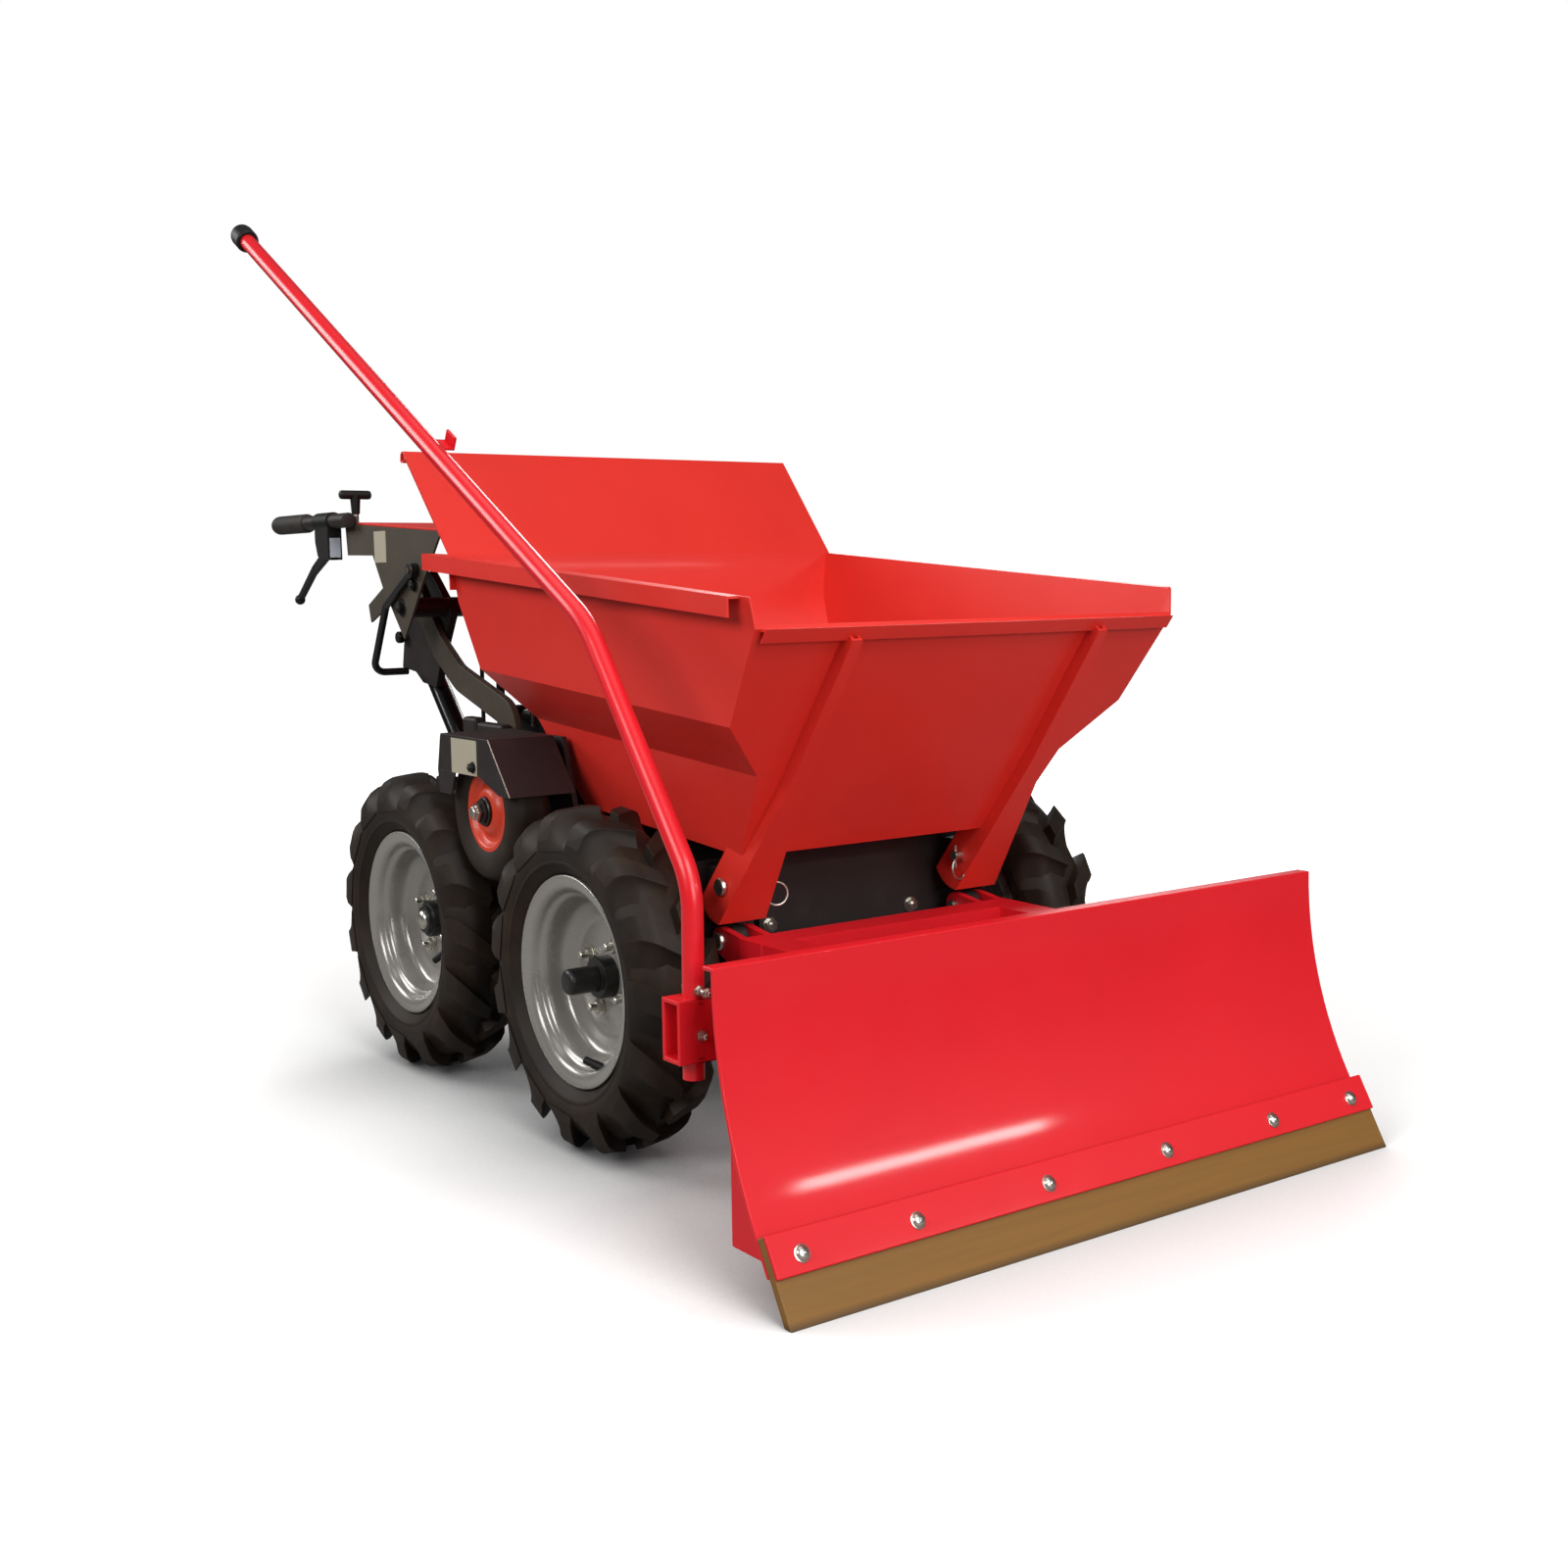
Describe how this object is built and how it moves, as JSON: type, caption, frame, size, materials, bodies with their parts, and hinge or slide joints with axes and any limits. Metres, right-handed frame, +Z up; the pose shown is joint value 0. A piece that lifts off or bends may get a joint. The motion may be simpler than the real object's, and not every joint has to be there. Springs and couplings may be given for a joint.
{
  "type": "mini dumper",
  "caption": "Walk-behind mini dumper with lug tyres, forward-tipping red skip, handlebar controls and a front dozer blade raised by a long bent side lever.",
  "frame": {"origin": "on the ground, midway between the axles, at the bottom centre of the bounding box", "axes": "+X forward towards the blade, +Y to the left, +Z up"},
  "size_m": [1.8142, 0.962, 1.3306],
  "materials": {
    "skip_red": "gloss orange-red enamel",
    "blade_red": "gloss red enamel",
    "edge_tan": "matt tan wear strip",
    "zinc_steel": "bright zinc plate",
    "cap_rubber": "matt black rubber",
    "tyre_black": "new moulded rubber",
    "rim_silver": "silver lacquer",
    "hub_black": "black paint",
    "idler_orange": "orange-red paint",
    "frame_black": "satin black paint",
    "plastic_black": "grained black plastic",
    "engine_alloy": "dark die casting",
    "gearbox_iron": "black painted casting",
    "muffler_steel": "heat-proof dark coat"
  },
  "bodies": {
    "chassis": {"chassis_frame": "frame_black", "front_cover": "frame_black", "cover_bolts": "zinc_steel", "front_axle": "frame_black", "rear_axle": "frame_black", "gearbox": "gearbox_iron", "engine_block": "engine_alloy", "engine_cowl": "frame_black", "recoil_cover": "plastic_black", "fuel_tank": "plastic_black", "air_cleaner": "plastic_black", "muffler": "muffler_steel", "idler_brackets": "frame_black", "idler_hoods": "frame_black", "handle_arms": "frame_black", "column_brackets": "frame_black", "cross_tube": "frame_black", "console_plates": "frame_black", "console_deck": "skip_red", "gear_gate": "plastic_black", "handle_tubes": "frame_black", "grip_left": "cap_rubber", "grip_right": "cap_rubber", "lever_perches": "plastic_black", "hinge_pins": "zinc_steel", "skip_buffers": "cap_rubber", "control_conduits": "plastic_black"},
    "skip": {"skip_tub": "skip_red", "skip_leg_left": "skip_red", "skip_leg_right": "skip_red"},
    "blade": {"moldboard": "blade_red", "blade_frame": "blade_red", "blade_beam": "blade_red", "blade_ribs": "blade_red", "clamp_strip": "blade_red", "lift_lever": "blade_red", "cutting_edge": "edge_tan", "edge_bolts": "zinc_steel", "lever_cap": "cap_rubber"},
    "gear_lever": {"gear_lever": "plastic_black"},
    "drive_lever": {"drive_lever": "plastic_black"},
    "brake_lever": {"brake_lever": "plastic_black"},
    "release_lever": {"release_lever": "frame_black"},
    "rear_left_wheel": {"rear_left_tyre": "tyre_black", "rear_left_rim": "rim_silver", "rear_left_hub": "hub_black"},
    "front_left_wheel": {"front_left_tyre": "tyre_black", "front_left_rim": "rim_silver", "front_left_hub": "hub_black"},
    "idler_left": {"idler_left_tyre": "tyre_black", "idler_left_rim": "idler_orange"},
    "rear_right_wheel": {"rear_right_tyre": "tyre_black", "rear_right_rim": "rim_silver", "rear_right_hub": "hub_black"},
    "front_right_wheel": {"front_right_tyre": "tyre_black", "front_right_rim": "rim_silver", "front_right_hub": "hub_black"},
    "idler_right": {"idler_right_tyre": "tyre_black", "idler_right_rim": "idler_orange"}
  },
  "joints": [
    {"name": "skip_tip", "type": "hinge", "parent": "chassis", "child": "skip", "pos_m": [0.417, 0, 0.361], "axis": [0, 1, 0], "range_deg": [0, 48]},
    {"name": "blade_lift", "type": "hinge", "parent": "chassis", "child": "blade", "pos_m": [0.396, 0, 0.286], "axis": [0, 1, 0], "range_deg": [-18, 0]},
    {"name": "rear_left_spin", "type": "hinge", "parent": "chassis", "child": "rear_left_wheel", "pos_m": [-0.266, 0.329, 0.23], "axis": [0, 1, 0], "continuous": true},
    {"name": "front_left_spin", "type": "hinge", "parent": "chassis", "child": "front_left_wheel", "pos_m": [0.266, 0.329, 0.23], "axis": [0, 1, 0], "continuous": true},
    {"name": "idler_left_spin", "type": "hinge", "parent": "chassis", "child": "idler_left", "pos_m": [0, 0.334, 0.428], "axis": [0, 1, 0], "continuous": true},
    {"name": "rear_right_spin", "type": "hinge", "parent": "chassis", "child": "rear_right_wheel", "pos_m": [-0.266, -0.329, 0.23], "axis": [0, 1, 0], "continuous": true},
    {"name": "front_right_spin", "type": "hinge", "parent": "chassis", "child": "front_right_wheel", "pos_m": [0.266, -0.329, 0.23], "axis": [0, 1, 0], "continuous": true},
    {"name": "idler_right_spin", "type": "hinge", "parent": "chassis", "child": "idler_right", "pos_m": [0, -0.334, 0.428], "axis": [0, 1, 0], "continuous": true},
    {"name": "drive_squeeze", "type": "hinge", "parent": "chassis", "child": "drive_lever", "pos_m": [-0.664, -0.3128, 0.808], "axis": [0, 1, 0], "range_deg": [0, 16], "stiffness_Nm_per_rad": 3},
    {"name": "brake_squeeze", "type": "hinge", "parent": "chassis", "child": "brake_lever", "pos_m": [-0.664, 0.3128, 0.808], "axis": [0, 1, 0], "range_deg": [0, 16], "stiffness_Nm_per_rad": 3},
    {"name": "gear_shift", "type": "hinge", "parent": "chassis", "child": "gear_lever", "pos_m": [-0.604, -0.288, 0.826], "axis": [0, 1, 0], "range_deg": [-10, 10]},
    {"name": "release_pull", "type": "hinge", "parent": "chassis", "child": "release_lever", "pos_m": [-0.339, -0.307, 0.771], "axis": [0, 1, 0], "range_deg": [0, 20]}
  ],
  "couplings": [
    {"joint": "front_left_spin", "follows": "rear_left_spin", "ratio": 1},
    {"joint": "idler_left_spin", "follows": "rear_left_spin", "ratio": -2.2772},
    {"joint": "front_right_spin", "follows": "rear_right_spin", "ratio": 1},
    {"joint": "idler_right_spin", "follows": "rear_right_spin", "ratio": -2.2772}
  ]
}
